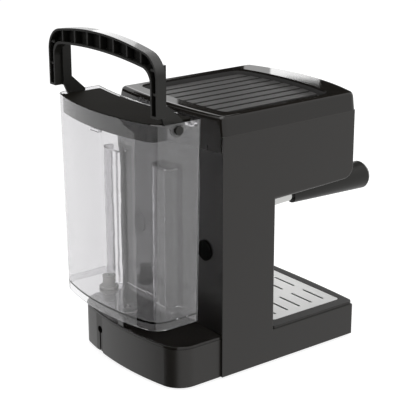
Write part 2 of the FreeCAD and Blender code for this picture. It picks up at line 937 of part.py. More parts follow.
def lid_outline(inset, z):
    arc_r = tank_rear_arc_r - inset
    side = lid_half - inset
    rear_sag = arc_r - math.sqrt(arc_r ** 2 - side ** 2)
    front = tank_front + rest_y + tank_wall + lid_gap + inset
    front_sag = tank_front_bow * (side / tank_rim_half) ** 2
    rear = tank_rear + rest_y - tank_wall - lid_gap - inset
    corner = tank_rim_r - tank_wall - lid_gap - inset
    return bowed(side, front, front_sag, tank_front_r, rear, rear_sag, corner, on_plan(z))


def tank_lid():
    top = tank_top_z - lid_drop
    plate = raised(lid_outline(0.0, top - lid_t), lid_t)
    low = top - lid_t - lid_skirt_h
    skirt = raised(lid_outline(0.0, low), lid_skirt_h)
    skirt = skirt.cut(raised(lid_outline(lid_skirt_wall, low - over), lid_skirt_h + over))
    start = lid_skirt_start + rest_y
    skirt = skirt.common(box(-half, half, start, start + ledge_rear, low, top))
    return fused([plate, skirt])


# The handle's outline seen from behind: legs, rounded shoulders and a crowned bar.
def handle_outline(inset, at):
    side = handle_half - inset
    crown = pivot_z + handle_rise + pivot_drop - inset
    low = pivot_z + handle_leg_end + pivot_drop
    r = max(handle_outer_r - inset, handle_inner_r)
    bow = handle_bow * (side / handle_half) ** 2
    return bowed(side, low - handle_rise * (inset > 0), 0, over, crown, bow, r, at)


def handle_band(inner_inset, outer_inset, y0, y1):
    at = on_front(y0)
    outside = Part.Face(handle_outline(outer_inset, at)).extrude(vec(0, y1 - y0, 0))
    bar_low = pivot_z + handle_rise + pivot_drop - inner_inset - handle_bar_h
    side = handle_half - handle_leg_w + (handle_skin if inner_inset < 0 else 0.0)
    low = pivot_z - handle_rise
    opening = bowed(side, low, 0, over, bar_low, handle_bow / 2, handle_inner_r, at)
    return outside.cut(Part.Face(opening).extrude(vec(0, y1 - y0, 0)))


def tank_handle():
    y0 = pivot_y + rest_y + handle_front
    y1 = y0 + handle_depth
    low = pivot_z + handle_leg_end + pivot_drop
    top = pivot_z + handle_rise + pivot_drop
    band = handle_band(0.0, 0.0, y0, y1)
    trough = handle_band(-handle_skin, handle_skin, y0 + handle_skin, y1 + over)
    ribs = []
    count = int(handle_half / handle_rib_pitch)
    for i in range(-count + 1, count):
        x = i * handle_rib_pitch - handle_skin / 2
        ribs.append(box(x, x + handle_skin, y0, y1 - over, top - 2 * handle_bar_h, top))
    for level in range(1, 3):
        z = low + level * handle_rib_pitch - handle_skin / 2
        ribs += both_sides(box(handle_half - handle_leg_w, handle_half, y0, y1 - over, z, z + handle_skin))
    ribs += both_sides(box(handle_half - handle_leg_w, handle_half, y0, y1, low, low + handle_skin))
    open_trough = trough.cut(Part.makeCompound(ribs))
    body = band.cut(open_trough.common(box(-half * 2, half * 2, y0, y1 + over, low, top)))
    pin_y = pivot_y + rest_y
    x1 = handle_half - handle_leg_w + handle_skin
    x0 = x1 - ear_t
    plate_y = y0 - leg_plate_depth
    leg_y = y0 + handle_skin
    web = [(pin_y - ear_r * 0.8, pivot_z), (pin_y + ear_r * 0.8, pivot_z), (y0 - ear_r * 0.6, pivot_z + ear_r * 0.8)]
    web += [(y0, low), (leg_y, low), (leg_y, pivot_z + ear_top_rise), (plate_y, pivot_z + ear_top_rise)]
    web += [(pin_y - ear_r, pivot_z + ear_foot_rise)]
    plate = Part.Face(rounded([(y, z, 0) for y, z in web], on_side(x0))).extrude(vec(ear_t, 0, 0))
    plate_x = x0 + over
    side_plate = box(plate_x - leg_plate_t, plate_x, plate_y, leg_y, low, pivot_z + leg_plate_top)
    eye = rod(ear_r, vec(x0, pin_y, pivot_z), vec(x1, pin_y, pivot_z))
    whole = fused([body] + both_sides(fused([plate, eye, side_plate])))
    return whole.cut(rod(pivot_r + run_gap, vec(-handle_half, pin_y, pivot_z), vec(handle_half, pin_y, pivot_z)))


def handle_pins():
    pin_y = pivot_y + rest_y
    x_in = handle_half - handle_leg_w + handle_skin - ear_t
    share = (pivot_z - tank_z) / tank_rise
    x_wall = tank_foot_half + (tank_rim_half - tank_foot_half) * share + fit_gap
    shank = rod(pivot_r, vec(x_in, pin_y, pivot_z), vec(x_wall, pin_y, pivot_z))
    head = rod(pin_head_r, vec(x_wall, pin_y, pivot_z), vec(x_wall + pin_head_t, pin_y, pivot_z))
    rim = [e for e in head.Edges if e.Closed and abs(e.CenterOfMass.x - x_wall - pin_head_t) < 1e-6]
    head = head.makeFillet(pin_head_t / 2, rim)
    return Part.makeCompound(both_sides(fused([shank, head])))


# The valve's levels, upwards from its lower face, which meets the dock's seal when the tank is seated.
def valve_low():
    return tank_floor_z - (tank_skirt - dock_flange_t - dock_seal_t - fit_gap)


def valve_seat_z():
    return tank_floor_z + tank_wall + valve_nut_h


def at_valve(r, z0, z1):
    return disc(r, dock_x, valve_y(), z0, z1)


def tank_valve_body():
    seat = valve_seat_z()
    top = seat + valve_rise
    body = fused([at_valve(valve_flange_r, valve_low(), tank_floor_z),
                  at_valve(valve_neck_r, valve_low(), top)])
    body = body.cut(at_valve(valve_bore_r, valve_low() - over, seat - valve_disc_t))
    body = body.cut(at_valve(valve_seat_r, valve_low(), top))
    return body.cut(at_valve(valve_bore_r, seat, top + over))


def valve_nut():
    z = tank_floor_z + tank_wall
    corners = []
    for i in range(6):
        turn = math.radians(60 * i)
        corners.append((dock_x + valve_nut_r * math.cos(turn), valve_y() + valve_nut_r * math.sin(turn), 0))
    nut = raised(rounded(corners, on_plan(z)), valve_nut_h)
    return nut.cut(at_valve(valve_neck_r + run_gap, z - over, z + valve_nut_h + over))


def valve_poppet():
    seat = valve_seat_z()
    plate = at_valve(valve_bore_r - fit_gap, seat + run_gap, seat + valve_disc_t)
    return fused([plate, at_valve(valve_stem_r, valve_low() + dock_seal_t, seat + valve_disc_t)])


def valve_spring():
    low = valve_seat_z() + valve_disc_t
    high = valve_seat_z() + valve_rise - valve_cap_t
    return tube(valve_spring_r, valve_spring_r - valve_spring_wall, dock_x, valve_y(), low, high)


def valve_cap():
    top = valve_seat_z() + valve_rise
    cap = at_valve(valve_bore_r - run_gap, top - valve_cap_t, top)
    return cap.cut(at_valve(valve_cap_hole_r, top - valve_cap_t - over, top + over))


def inlet_fitting():
    flange_top = ledge_z + dock_flange_t
    flange = disc(dock_flange_r, dock_x, dock_y, ledge_z, flange_top)
    barrel = disc(dock_r, dock_x, dock_y, ledge_z - ledge_cover_t - cover_boss_h, flange_top)
    barb = disc(dock_barb_r, dock_x, dock_y, base_z + dock_barb_rise, flange_top)
    bore = disc(dock_bore_r, dock_x, dock_y, base_z, flange_top)
    cup = disc(valve_seat_r + dock_pin_r, dock_x, dock_y, ledge_z - ledge_cover_t, flange_top + over)
    pin_top = flange_top + 2 * dock_seal_t + fit_gap
    pin = disc(dock_pin_r, dock_x, dock_y, ledge_z - ledge_cover_t - over, pin_top)
    spoke = box(dock_x - dock_r + over, dock_x + dock_r - over, dock_y - dock_pin_r / 2, dock_y + dock_pin_r / 2,
                ledge_z - ledge_cover_t - over, ledge_z - over)
    return fused([fused([flange, barrel, barb]).cut(bore).cut(cup), spoke, pin])


def dock_seal():
    low = ledge_z + dock_flange_t
    return tube(dock_flange_r, valve_seat_r + dock_pin_r, dock_x, dock_y, low, low + dock_seal_t)


def suction_hose():
    z = base_z + suction_rise
    start = vec(dock_x, dock_y, base_z + dock_barb_rise + fit_gap)
    start.z = ledge_z - ledge_cover_t - cover_boss_h - fit_gap
    points = [start, vec(dock_x, dock_y, z), vec(pump_x, pump_y, z)]
    points.append(vec(pump_x, pump_y, base_z + pump_low - fit_gap))
    hose = bent_bar(hose_r, points, hose_bend_r).cut(bent_bar(hose_bore_r, points, hose_bend_r))
    nozzle = disc(pump_nozzle_r + run_gap, pump_x, pump_y, base_z + pump_low - pump_nozzle_h - over, top_z)
    barb = disc(dock_barb_r + run_gap, dock_x, dock_y, base_z + dock_barb_rise - over, top_z)
    return hose.cut(nozzle).cut(barb)


def pump():
    low = base_z + pump_low
    body = disc(pump_r, pump_x, pump_y, low, low + pump_h)
    inlet = disc(pump_nozzle_r, pump_x, pump_y, low - pump_nozzle_h, low)
    outlet = disc(pump_nozzle_r, pump_x, pump_y, low + pump_h, low + pump_h + pump_nozzle_h)
    bore = disc(hose_bore_r - over, pump_x, pump_y, low - pump_nozzle_h - over, low)
    bore2 = disc(hose_bore_r - over, pump_x, pump_y, low + pump_h, low + pump_h + pump_nozzle_h + over)
    return fused([body, inlet, outlet]).cut(bore).cut(bore2)


def damper_low():
    return base_z + pump_low + (pump_h - pump_damper_h) / 2


def pump_damper():
    low = damper_low()
    return tube(pump_r + pump_damper_t, pump_r + run_gap, pump_x, pump_y, low, low + pump_damper_h)


def pump_bracket():
    low = damper_low()
    wall_y = -rear_wall_inset - rear_wall_t
    r = pump_r + pump_damper_t + run_gap
    clamp = disc(r + pump_clamp_t, pump_x, pump_y, low, low + pump_damper_h)
    plate = box(pump_x - r, pump_x + r, wall_y - bracket_t, wall_y, low - pump_damper_h, low + 2 * pump_damper_h)
    arm = box(pump_x - pump_r / 2, pump_x + pump_r / 2, pump_y, wall_y, low, low + pump_damper_h)
    return fused([clamp, arm, plate]).cut(disc(r, pump_x, pump_y, low - over, low + pump_damper_h + over))


def boiler_inlet_y():
    return group_y + boiler_inlet_reach + math.sqrt(boiler_lid_r ** 2 - pump_x ** 2)


def pressure_hose():
    z = base_z + pressure_rise
    start = vec(pump_x, pump_y, base_z + pump_low + pump_h + fit_gap)
    points = [start, vec(pump_x, pump_y, z), vec(pump_x, boiler_inlet_y() - boiler_inlet_reach / 2, z)]
    hose = bent_bar(hose_r, points, hose_bend_r).cut(bent_bar(hose_bore_r, points, hose_bend_r))
    nozzle = disc(pump_nozzle_r + run_gap, pump_x, pump_y, base_z, base_z + pump_low + pump_h + pump_nozzle_h + over)
    return hose.cut(nozzle)


def boiler_split():
    return group_seat_z + boiler_h


def boiler_screw_places():
    places = []
    ring = (boiler_r + boiler_lid_r) / 2
    for i in range(4):
        turn = math.radians(45 + 90 * i)
        places.append((ring * math.cos(turn), group_y + ring * math.sin(turn)))
    return places


def boiler_body():
    split = boiler_split()
    body = group_axis(boiler_r, group_seat_z, split)
    body = body.cut(group_axis(boiler_lid_r - 2 * boiler_flange_t, group_seat_z + boiler_flange_t, split + over))
    for x, y in boiler_screw_places():
        body = body.cut(disc(boiler_screw_r + run_gap, x, y, split - boiler_flange_t, split + over))
    for x in (-heater_r * 3, heater_r * 3):
        socket = rod(heater_r + run_gap, vec(x, group_y, group_seat_z + boiler_h / 2),
                     vec(x, group_y - 2 * boiler_r, group_seat_z + boiler_h / 2))
        zone = box(-half, half, group_y - boiler_r - over, group_y - boiler_lid_r, base_z, top_z)
        body = body.cut(socket.common(zone))
    return body


def boiler_gasket():
    split = boiler_split()
    ring = group_axis(boiler_r, split, split + boiler_gasket_t)
    ring = ring.cut(group_axis(boiler_lid_r - 2 * boiler_flange_t, split - over, split + boiler_gasket_t + over))
    for x, y in boiler_screw_places():
        ring = ring.cut(disc(boiler_screw_r + run_gap, x, y, split - over, split + boiler_gasket_t + over))
    return ring


def boiler_lid():
    low = boiler_split() + boiler_gasket_t
    flange = group_axis(boiler_r, low, low + boiler_flange_t)
    dome = group_axis(boiler_lid_r, low, low + boiler_lid_h)
    crown = [e for e in dome.Edges if e.Closed and abs(e.CenterOfMass.z - low - boiler_lid_h) < 1e-6]
    dome = dome.makeFillet(boiler_flange_t, crown)
    z = base_z + pressure_rise
    inlet_end = boiler_inlet_y()
    inlet = rod(boiler_inlet_r, vec(pump_x, group_y, z), vec(pump_x, inlet_end, z))
    steam_z = base_z + steam_rise
    steam_end = boiler_lid_r + boiler_inlet_reach
    outlet = rod(steam_pipe_r * 2, vec(0, group_y, steam_z), vec(steam_end, group_y, steam_z))
    whole = fused([flange, dome, inlet, outlet])
    inner_r = boiler_lid_r - boiler_flange_t
    whole = whole.cut(group_axis(inner_r - boiler_flange_t, low - over, low + boiler_lid_h - boiler_flange_t))
    socket = rod(hose_r + run_gap, vec(pump_x, inlet_end - boiler_inlet_reach / 2, z), vec(pump_x, inlet_end + over, z))
    port = rod(hose_bore_r, vec(pump_x, group_y, z), vec(pump_x, inlet_end, z))
    steam_port = rod(steam_pipe_bore, vec(0, group_y, steam_z), vec(steam_end, group_y, steam_z))
    steam_in = steam_end - boiler_inlet_reach / 2
    steam_socket = rod(steam_pipe_r + run_gap, vec(steam_in, group_y, steam_z), vec(steam_end + over, group_y, steam_z))
    whole = whole.cut([socket, port, steam_port, steam_socket])
    for x, y in boiler_screw_places():
        whole = whole.cut(disc(boiler_screw_head_r + fit_gap, x, y, low + boiler_flange_t, top_z))
        whole = whole.cut(disc(boiler_screw_r + run_gap, x, y, low - over, top_z))
    return whole


def boiler_screws():
    screws = []
    seat = boiler_split() + boiler_gasket_t + boiler_flange_t
    for x, y in boiler_screw_places():
        head = disc(boiler_screw_head_r, x, y, seat, seat + boiler_screw_head_h)
        screws.append(fused([head, disc(boiler_screw_r, x, y, boiler_split() - boiler_flange_t + fit_gap, seat)]))
    return Part.makeCompound(screws)


def heating_element():
    posts = []
    z = group_seat_z + boiler_h / 2
    for x in (-heater_r * 3, heater_r * 3):
        start = group_y - boiler_lid_r
        posts.append(rod(heater_r, vec(x, start, z), vec(x, start - heater_length, z)))
    return Part.makeCompound(posts)


def boiler_roof():
    return boiler_split() + boiler_gasket_t + boiler_lid_h


def thermostats():
    discs = []
    for x in (-thermostat_r * 1.5, thermostat_r * 1.5):
        low = disc(thermostat_r, x, group_y, boiler_roof(), boiler_roof() + thermostat_h / 2)
        high = disc(thermostat_r / 2, x, group_y, boiler_roof(), boiler_roof() + thermostat_h)
        discs.append(fused([low, high]))
    return Part.makeCompound(discs)


def group_ring():
    low = base_z + group_ring_low
    roof = group_roof_z
    ring = group_axis(group_ring_r, low, group_seat_z)
    lug_low = bowl_top_z - bowl_flange_t - slide_gap
    ring = ring.cut(group_axis(bowl_flange_r + slide_gap, low - over, roof))
    ring = ring.cut(group_axis(bowl_flange_r + bowl_lug_reach + slide_gap, lug_low, bowl_top_z + slide_gap))
    ring = ring.cut(group_axis(dock_bore_r, roof - over, group_seat_z + over))
    entry = bowl_lug_angle + bowl_lug_play
    for side in (0, 180):
        ring = ring.cut(lug(side - bowl_turn, bowl_lug_reach + slide_gap, entry, low - over, lug_low + over))
    return ring


# A sector of the bayonet, pointing along a plan angle.
def lug(turn, reach, spread, z0, z1):
    r = bowl_flange_r + reach
    sector = Part.makeCylinder(r, z1 - z0, vec(0, 0, 0), vec(0, 0, 1), spread)
    sector.rotate(vec(0, 0, 0), vec(0, 0, 1), turn - spread / 2)
    sector.translate(vec(0, group_y, z0))
    return sector.cut(group_axis(bowl_r, z0 - over, z1 + over))


def group_gasket():
    roof = group_roof_z
    return tube(bowl_flange_r, group_gasket_in_r, 0, group_y, roof - group_gasket_t, roof)


def shower_screen():
    roof = group_roof_z
    low = roof - group_gasket_t
    screen = group_axis(screen_r, low, low + screen_t)
    wall = tube(screen_r, screen_r - screen_t, 0, group_y, low, roof)
    screen = fused([screen, wall])
    holes = []
    for ring in range(2, 6):
        count = 4 * ring
        for i in range(count):
            turn = 2 * math.pi * i / count
            reach = ring * screen_r / 6.5
            place = (reach * math.cos(turn), group_y + reach * math.sin(turn))
            holes.append(disc(screen_t / 2, place[0], place[1], low - over, low + screen_t + over))
    holes.append(group_axis(screen_screw_r / 2 + run_gap, low - over, low + screen_t + over))
    return screen.cut(holes)


def shower_screw():
    low = group_roof_z - group_gasket_t
    head = group_axis(screen_screw_r, low - screen_t, low)
    return fused([head, group_axis(screen_screw_r / 2, low - screen_t, low + group_gasket_t)])


def portafilter_body():
    top = bowl_top_z
    low = bowl_low_z
    flange = group_axis(bowl_flange_r, top - bowl_flange_t, top)
    bowl = group_axis(bowl_r, low, top)
    foot = [e for e in bowl.Edges if e.Closed and abs(e.CenterOfMass.z - low) < 1e-6]
    bowl = bowl.makeFillet(bowl_wall * 2, foot)
    lugs = [lug(side, bowl_lug_reach, bowl_lug_angle, top - bowl_flange_t, top) for side in (0, 180)]
    boss = rod(stem_r + bowl_wall, vec(0, group_y, base_z + stem_rise), stem_at(bowl_r + bowl_wall))
    whole = fused([flange, bowl, boss] + lugs)
    whole = whole.cut(group_axis(bowl_r - bowl_wall, low + bowl_wall, top + over))
    whole = whole.cut(group_axis(basket_lip_r + fit_gap, top - basket_wall - run_gap, top + over))
    socket = rod(stem_r + run_gap, stem_at(bowl_r - bowl_wall / 3), stem_at(bowl_r + 3 * bowl_wall))
    return whole.cut([socket, group_axis(spout_bore_r, low - over, low + bowl_wall + over)])


# A point on the portafilter's handle axis, at a reach from the group's centre.
def stem_at(reach):
    tilt = math.radians(stem_tilt)
    return vec(0, group_y - reach * math.cos(tilt), base_z + stem_rise + (reach - bowl_r) * math.sin(tilt))


def filter_basket():
    top = bowl_top_z
    lip = group_axis(basket_lip_r, top - basket_wall, top)
    cup = group_axis(basket_r, top - basket_depth, top)
    whole = fused([lip, cup])
    whole = whole.cut(group_axis(basket_r - basket_wall, top - basket_depth + basket_wall, top + over))
    holes = []
    for ring in range(1, 5):
        for i in range(6 * ring):
            turn = 2 * math.pi * i / (6 * ring)
            reach = ring * basket_r / 5.5
            place = (reach * math.cos(turn), group_y + reach * math.sin(turn))
            holes.append(disc(basket_wall / 2, place[0], place[1], top - basket_depth - over, top - basket_depth + over))
    return whole.cut(holes)


def portafilter_stem():
    return rod(stem_r, stem_at(bowl_r), stem_at(bowl_r + stem_length + grip_socket))


def portafilter_handle():
    straight = grip_length - grip_dome
    ball_r = (grip_end_r ** 2 + grip_dome ** 2) / (2 * grip_dome)
    lean = math.asin(grip_end_r / ball_r) / 2
    shoulder = vec(ball_r * math.sin(lean), 0, grip_length - ball_r + ball_r * math.cos(lean))
    edges = [line(vec(0, 0, 0), vec(grip_start_r, 0, 0))]
    edges.append(line(vec(grip_start_r, 0, 0), vec(grip_end_r, 0, straight)))
    edges.append(arc(vec(grip_end_r, 0, straight), shoulder, vec(0, 0, grip_length)))
    edges.append(line(vec(0, 0, grip_length), vec(0, 0, 0)))
    grip = Part.Face(Part.Wire(edges)).revolve(vec(0, 0, 0), vec(0, 0, 1), 360)
    ends = [e for e in grip.Edges if e.Closed and e.BoundBox.ZLength < 1e-6]
    grip = grip.makeFillet(panel_edge_r, ends)
    grip.rotate(vec(0, 0, 0), vec(1, 0, 0), 90 - stem_tilt)
    grip.translate(stem_at(bowl_r + stem_length))
    socket = rod(stem_r + run_gap, stem_at(bowl_r), stem_at(bowl_r + stem_length + grip_socket + fit_gap))
    return grip.cut(socket)


def portafilter_spout():
    top = bowl_low_z
    neck = group_axis(spout_neck_r, top - spout_neck_h, top)
    arm_z = top - spout_neck_h
    arm = rod(spout_arm_r, vec(-spout_span, group_y, arm_z), vec(spout_span, group_y, arm_z))
    arms = [arm]
    bores = [rod(spout_bore_r, vec(-spout_span, group_y, arm_z), vec(spout_span, group_y, arm_z))]
    bores.append(group_axis(spout_bore_r, arm_z, top + over))
    for x in (-spout_span, spout_span):
        arms.append(disc(spout_arm_r, x, group_y, arm_z - spout_drop, arm_z))
        arms.append(Part.makeSphere(spout_arm_r, vec(x, group_y, arm_z)))
        bores.append(disc(spout_bore_r, x, group_y, arm_z - spout_drop - over, arm_z))
    return fused([neck] + arms).cut(bores)


def steam_valve_body():
    z = base_z + steam_rise
    barrel = rod(steam_valve_r, vec(steam_x, -steam_valve_front, z), vec(steam_x, -steam_valve_rear, z))
    low = head_z(steam_y) + panel_wall + fit_gap + steam_drop_r * head_slope
    drop = disc(steam_drop_r, steam_x, steam_y, low, z)
    whole = fused([barrel, drop])
    bores = [disc(wand_r + run_gap, steam_x, steam_y, low - over, low + wand_socket)]
    bores.append(disc(wand_bore_r, steam_x, steam_y, low, z))
    stem_in = -steam_valve_front + knob_socket
    bores.append(rod(steam_stem_r + run_gap, vec(steam_x, -steam_valve_front - over, z), vec(steam_x, stem_in, z)))
    pipe_in = -steam_valve_rear - boiler_inlet_reach / 2
    bores.append(rod(steam_pipe_r + run_gap, vec(steam_x, pipe_in, z), vec(steam_x, -steam_valve_rear + over, z)))
    return whole.cut(bores)


def steam_pipe():
    z = base_z + steam_rise
    start = vec(boiler_lid_r + boiler_inlet_reach / 2, group_y, z)
    points = [start, vec(steam_x, group_y, z), vec(steam_x, -steam_valve_rear - boiler_inlet_reach / 2, z)]
    return bent_tube(steam_pipe_r, steam_pipe_bore, points, steam_pipe_bend)


def knob_front():
    return front_at(steam_x - knob_r) - knob_gap - knob_t


def steam_valve_stem():
    z = base_z + steam_rise
    tip = knob_front() + knob_t - knob_socket
    return rod(steam_stem_r, vec(steam_x, tip, z), vec(steam_x, -steam_valve_front + knob_socket - fit_gap, z))


def steam_knob():
    z = base_z + steam_rise
    front = knob_front()
    knob = rod(knob_r, vec(steam_x, front, z), vec(steam_x, front + knob_t, z))
    rim = [e for e in knob.Edges if e.Closed and abs(e.CenterOfMass.y - front) < 1e-6]
    knob = knob.makeFillet(panel_corner_r, rim)
    flutes = []
    for i in range(knob_flutes):
        turn = 2 * math.pi * i / knob_flutes
        x = steam_x + (knob_r + knob_flute_r / 3) * math.cos(turn)
        fz = z + (knob_r + knob_flute_r / 3) * math.sin(turn)
        flutes.append(rod(knob_flute_r, vec(x, front - over, fz), vec(x, front + knob_t - panel_corner_r, fz)))
    knob = knob.cut(flutes)
    stem = rod(steam_stem_r + run_gap, vec(steam_x, front + knob_t - knob_socket - fit_gap, z), vec(steam_x, 0, z))
    return knob.cut(stem)


def wand_points():
    low = head_z(steam_y) + panel_wall + fit_gap + steam_drop_r * head_slope
    top = vec(steam_x, steam_y, low + wand_socket - fit_gap)
    knee = vec(steam_x, steam_y, head_z(steam_y) - wand_straight)
    lean = math.radians(wand_lean)
    tip = knee + vec(0, -math.sin(lean), -math.cos(lean)) * wand_length
    return top, knee, tip


def along_wand(distance):
    top, knee, tip = wand_points()
    run = tip - knee
    run.normalize()
    return knee + run * distance


def steam_wand():
    return bent_tube(wand_r, wand_bore_r, list(wand_points()), wand_bend_r)


def froth_sleeve():
    start = along_wand(wand_length - sleeve_length)
    sleeve = rod(sleeve_r, start, along_wand(wand_length + panel_wall))
    bore = rod(wand_r + run_gap, along_wand(0), along_wand(wand_length))
    mouth = rod(wand_bore_r, along_wand(0), along_wand(wand_length + 2 * panel_wall))
    rims = [e for e in sleeve.Edges if e.Closed]
    return sleeve.makeFillet(panel_edge_r, rims).cut(bore).cut(mouth)


def wand_grip():
    start = along_wand(wand_grip_start)
    grip = rod(wand_grip_r, start, along_wand(wand_grip_start + wand_grip_length))
    rims = [e for e in grip.Edges if e.Closed]
    return grip.makeFillet(panel_edge_r / 2, rims).cut(rod(wand_r + run_gap, along_wand(0), along_wand(wand_length)))


def build():
    parts = {
        "left_side_panel": mirrored(side_panel()),
        "right_side_panel": side_panel(),
        "top_cover": top_cover(),
        "cup_warming_tray": cup_warming_tray(),
        "rear_wall": rear_wall(),
        "rear_plugs": rear_plugs(),
        "column_front_panel": column_front_panel(),
        "head_underside": head_underside(),
        "front_fascia": front_fascia(),
        "button_housing": button_housing(),
        "button_switches": button_switches(),
        "control_board": control_board(),
        "base_chassis": base_chassis(),
        "feet": feet(),
        "drip_tray": drip_tray(),
        "drip_grille": drip_grille(),
        "tank_base": tank_base(),
        "tank_base_cover": tank_base_cover(),
        "base_screws": base_screws(),
        "water_tank": water_tank(),
        "tank_lid": tank_lid(),
        "tank_handle": tank_handle(),
        "handle_pins": handle_pins(),
        "tank_valve_body": tank_valve_body(),
        "valve_nut": valve_nut(),
        "valve_poppet": valve_poppet(),
        "valve_spring": valve_spring(),
        "valve_cap": valve_cap(),
        "inlet_fitting": inlet_fitting(),
        "dock_seal": dock_seal(),
        "suction_hose": suction_hose(),
        "pump": pump(),
        "pump_damper": pump_damper(),
        "pump_bracket": pump_bracket(),
        "pressure_hose": pressure_hose(),
        "boiler_body": boiler_body(),
        "boiler_gasket": boiler_gasket(),
        "boiler_lid": boiler_lid(),
        "boiler_screws": boiler_screws(),
        "heating_element": heating_element(),
        "thermostats": thermostats(),
        "group_ring": group_ring(),
        "group_gasket": group_gasket(),
        "shower_screen": shower_screen(),
        "shower_screw": shower_screw(),
        "portafilter_body": portafilter_body(),
        "filter_basket": filter_basket(),
        "portafilter_stem": portafilter_stem(),
        "portafilter_handle": portafilter_handle(),
        "portafilter_spout": portafilter_spout(),
        "steam_valve_body": steam_valve_body(),
        "steam_pipe": steam_pipe(),
        "steam_valve_stem": steam_valve_stem(),
        "steam_knob": steam_knob(),
        "steam_wand": steam_wand(),
        "froth_sleeve": froth_sleeve(),
        "wand_grip": wand_grip(),
    }
    for name, x in zip(("power_button", "brew_button", "steam_button"), button_xs()):
        parts[name] = button(x)
    return parts


# The finished frame has its origin on the floor, midway along the machine's whole depth.
def centred(parts):
    whole = Part.makeCompound(list(parts.values())).optimalBoundingBox(False, False)
    shift = vec(-(whole.XMin + whole.XMax) / 2, -(whole.YMin + whole.YMax) / 2, -whole.ZMin)
    print("moved by", shift)
    for shape in parts.values():
        shape.translate(shift)
    return parts


os.makedirs("parts", exist_ok=True)
for node, shape in centred(build()).items():
    shape.exportStep("parts/" + node + ".step")
    print(node, shape.isValid(), len(shape.Solids), round(shape.Volume / 1000, 2))
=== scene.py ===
import bpy, bmesh, json, math
from mathutils import Matrix, Vector


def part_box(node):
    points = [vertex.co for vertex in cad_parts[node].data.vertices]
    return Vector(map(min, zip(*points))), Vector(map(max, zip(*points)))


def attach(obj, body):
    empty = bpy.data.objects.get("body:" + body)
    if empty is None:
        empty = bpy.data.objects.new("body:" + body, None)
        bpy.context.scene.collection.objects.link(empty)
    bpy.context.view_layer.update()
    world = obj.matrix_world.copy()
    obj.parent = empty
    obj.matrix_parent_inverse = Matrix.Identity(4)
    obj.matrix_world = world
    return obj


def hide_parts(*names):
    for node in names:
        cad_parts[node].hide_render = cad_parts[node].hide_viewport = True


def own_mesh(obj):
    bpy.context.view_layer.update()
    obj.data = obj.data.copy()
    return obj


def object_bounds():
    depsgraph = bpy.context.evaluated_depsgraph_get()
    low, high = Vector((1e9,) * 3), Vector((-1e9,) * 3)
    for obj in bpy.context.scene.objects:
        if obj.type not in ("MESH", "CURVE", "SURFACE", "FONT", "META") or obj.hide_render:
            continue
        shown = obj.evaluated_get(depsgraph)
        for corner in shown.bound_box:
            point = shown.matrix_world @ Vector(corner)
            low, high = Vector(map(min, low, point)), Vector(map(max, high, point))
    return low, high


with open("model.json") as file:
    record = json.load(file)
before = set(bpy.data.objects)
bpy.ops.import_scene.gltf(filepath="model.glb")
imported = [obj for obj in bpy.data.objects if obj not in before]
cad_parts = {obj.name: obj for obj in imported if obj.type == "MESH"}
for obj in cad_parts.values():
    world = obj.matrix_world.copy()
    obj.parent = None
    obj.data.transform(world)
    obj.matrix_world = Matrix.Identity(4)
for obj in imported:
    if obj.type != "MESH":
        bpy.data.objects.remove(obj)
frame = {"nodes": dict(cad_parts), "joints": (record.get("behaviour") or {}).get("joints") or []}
cadLow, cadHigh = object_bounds()
nodes = frame["nodes"]
print("frame loaded:", len(nodes), "nodes")


class Wire:  # one shader socket that takes plain arithmetic
    def __init__(self, sheet, socket):
        self.sheet = sheet
        self.socket = socket

    def maths(self, operation, first, second):
        return self.sheet.node("Math", {"operation": operation}, {0: first, 1: second})

    def __add__(self, other):
        return self.maths("ADD", self, other)

    def __sub__(self, other):
        return self.maths("SUBTRACT", self, other)

    def __rsub__(self, other):
        return self.maths("SUBTRACT", other, self)

    def __mul__(self, other):
        return self.maths("MULTIPLY", self, other)

    def capped(self, limit):
        return self.maths("MINIMUM", self, limit)

    __radd__ = __add__
    __rmul__ = __mul__


noiseSetup = {"middle": 0.5, "cloudDetail": 2.0, "streakDetail": 3.0}  # noise runs from 0 to 1
bumpDepth = {"moulded": 0.0002, "metal": 0.0001}
backgroundRays = ["Is Camera Ray", "Is Glossy Ray", "Is Transmission Ray"]


class Sheet:  # the node sheet of one material or of the world
    def __init__(self, owner):
        owner.use_nodes = True
        self.tree = owner.node_tree
        self.tree.nodes.clear()

    def node(self, kind, settings, sockets, out=0):
        made = self.tree.nodes.new("ShaderNode" + kind)
        for key, value in settings.items():
            setattr(made, key, value)
        for key, value in sockets.items():
            if isinstance(value, Wire):
                self.tree.links.new(value.socket, made.inputs[key])
            else:
                made.inputs[key].default_value = value
        return Wire(self, made.outputs[out]) if made.outputs else None

    def place(self):
        return self.node("TexCoord", {}, {}, "Object")

    def noise(self, where, scale, detail=noiseSetup["cloudDetail"]):
        return self.node("TexNoise", {}, {"Vector": where, "Scale": scale, "Detail": detail}, "Fac")

    def blend(self, share, first, second):  # sockets 6 and 7 and output 2 are the colours of a Mix
        return self.node("Mix", {"data_type": "RGBA"}, {"Factor": share, 6: first, 7: second}, 2)

    def drifting(self, share, look):  # colour and roughness that wander a little over the surface
        darker = tinted(look["colour"], 1 - look["drift"])
        paler = tinted(look["colour"], 1 + look["drift"])
        rough = look["rough"] + (share - noiseSetup["middle"]) * look["roughDrift"]
        return {"Base Color": self.blend(share, darker, paler), "Roughness": rough}

    def bump(self, height, strength, distance):
        return self.node("Bump", {}, {"Height": height, "Strength": strength, "Distance": distance})

    def showsBackground(self):  # 1 for rays that show the background, 0 for those that only light
        seen, shiny, through = [self.node("LightPath", {}, {}, ray) for ray in backgroundRays]
        return (seen + shiny + through).capped(1.0)

    def end(self, shader, kind="Material"):
        self.node("Output" + kind, {}, {"Surface": shader})


def tinted(colour, gain):
    return tuple(min(1.0, part * gain) for part in colour) + (1.0,)


